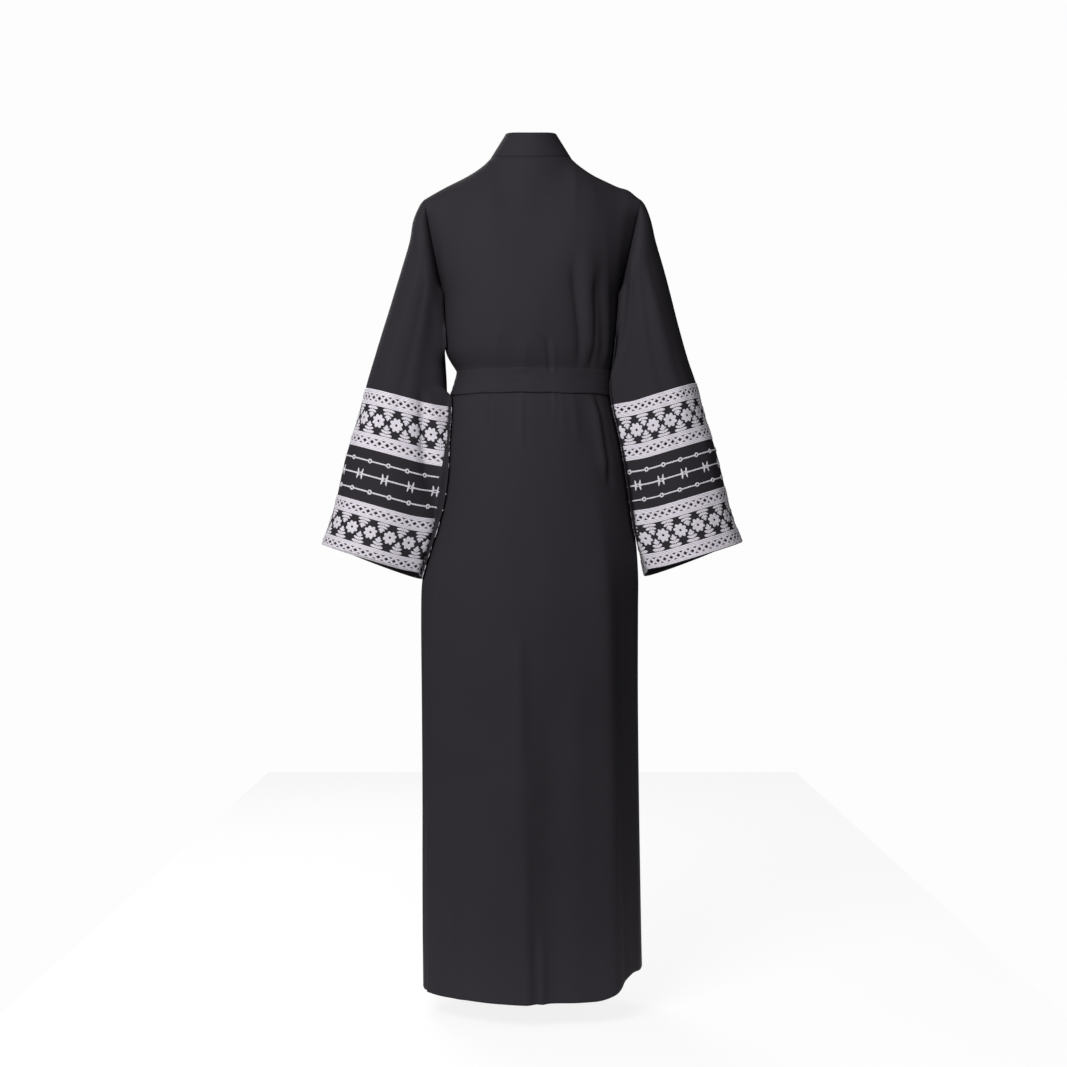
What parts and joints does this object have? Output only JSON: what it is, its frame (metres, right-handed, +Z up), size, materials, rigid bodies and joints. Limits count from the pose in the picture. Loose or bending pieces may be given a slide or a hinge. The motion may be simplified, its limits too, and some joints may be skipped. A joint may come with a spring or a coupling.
{
  "type": "abaya with embroidered bell sleeves",
  "caption": "Full-length black wrap-front abaya in worn form, hollow inside, with a stand collar, a tied belt and bell sleeves with white embroidered borders.",
  "frame": {"origin": "middle of the shoulder line, level with the seams of collar and shoulders, where the wearer's shoulders hold the garment up", "axes": "+Z up along the wearer's height, -Y the way the wearer faces, +X to the wearer's left"},
  "size_m": [0.7244, 0.2886, 1.458],
  "materials": {
    "black_crepe": "matte-satin woven nida crepe",
    "belt_crepe": "matte-satin woven nida crepe, two layers",
    "white_embroidery": "satin rayon embroidery thread"
  },
  "bodies": {
    "root": {"bodice_back": "black_crepe", "skirt_back": "black_crepe", "bodice_front_left": "black_crepe", "bodice_front_right": "black_crepe", "skirt_front_left": "black_crepe", "skirt_front_right": "black_crepe", "sleeve_left": "black_crepe", "sleeve_right": "black_crepe", "collar": "black_crepe", "front_band_left": "black_crepe", "front_band_right": "black_crepe", "belt": "belt_crepe", "belt_knot": "belt_crepe", "belt_tail_left": "belt_crepe", "belt_tail_right": "belt_crepe", "border_elbow_left": "white_embroidery", "border_elbow_right": "white_embroidery", "border_cuff_left": "white_embroidery", "border_cuff_right": "white_embroidery"}
  },
  "joints": []
}
